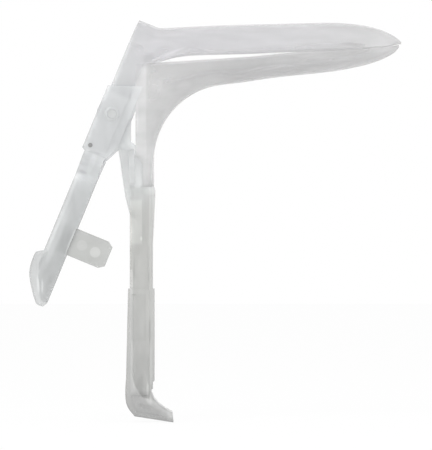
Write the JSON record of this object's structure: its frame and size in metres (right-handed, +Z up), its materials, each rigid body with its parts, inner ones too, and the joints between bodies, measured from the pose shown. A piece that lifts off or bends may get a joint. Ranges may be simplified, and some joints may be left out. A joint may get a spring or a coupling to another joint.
{
  "type": "bivalve speculum",
  "caption": "Clear plastic bivalve speculum: two hinged trough blades, a thumb lever with a locking tab, and an upright handle in which the yoke slides.",
  "frame": {"origin": "on the middle line of the grip of the handle, where a hand holds it", "axes": "+Z up along the handle, +X forward towards the blade tips, +Y to the left of the instrument"},
  "size_m": [0.1557, 0.0464, 0.1686],
  "materials": {
    "clear_upper": "moulded clear polystyrene, glossy, slightly cloudy",
    "clear_lower": "moulded clear polystyrene, glossy, slightly cloudy",
    "clear_handle": "moulded clear polystyrene, glossy, slightly cloudy",
    "clear_yoke": "moulded clear polystyrene, glossy, slightly cloudy",
    "clear_lever": "moulded clear polystyrene, glossy, slightly cloudy",
    "tab_plastic": "moulded clear polystyrene, glossy, slightly cloudy",
    "pin_plastic": "moulded clear polystyrene, glossy, slightly cloudy"
  },
  "bodies": {
    "base": {"lower_blade": "clear_lower", "handle": "clear_handle"},
    "yoke": {"yoke": "clear_yoke", "left_pivot_pin": "pin_plastic", "right_pivot_pin": "pin_plastic"},
    "upper_half": {"upper_blade": "clear_upper", "thumb_lever": "clear_lever", "locking_tab": "tab_plastic", "left_leg_pin": "pin_plastic", "right_leg_pin": "pin_plastic"}
  },
  "joints": [
    {"name": "yoke_slide", "type": "slide", "parent": "base", "child": "yoke", "axis": [0, 0, 1], "range_m": [0, 0.015]},
    {"name": "blade_hinge", "type": "hinge", "parent": "yoke", "child": "upper_half", "pos_m": [-0.01177, 0, 0.09237], "axis": [0, -1, 0], "range_deg": [0, 23]}
  ]
}
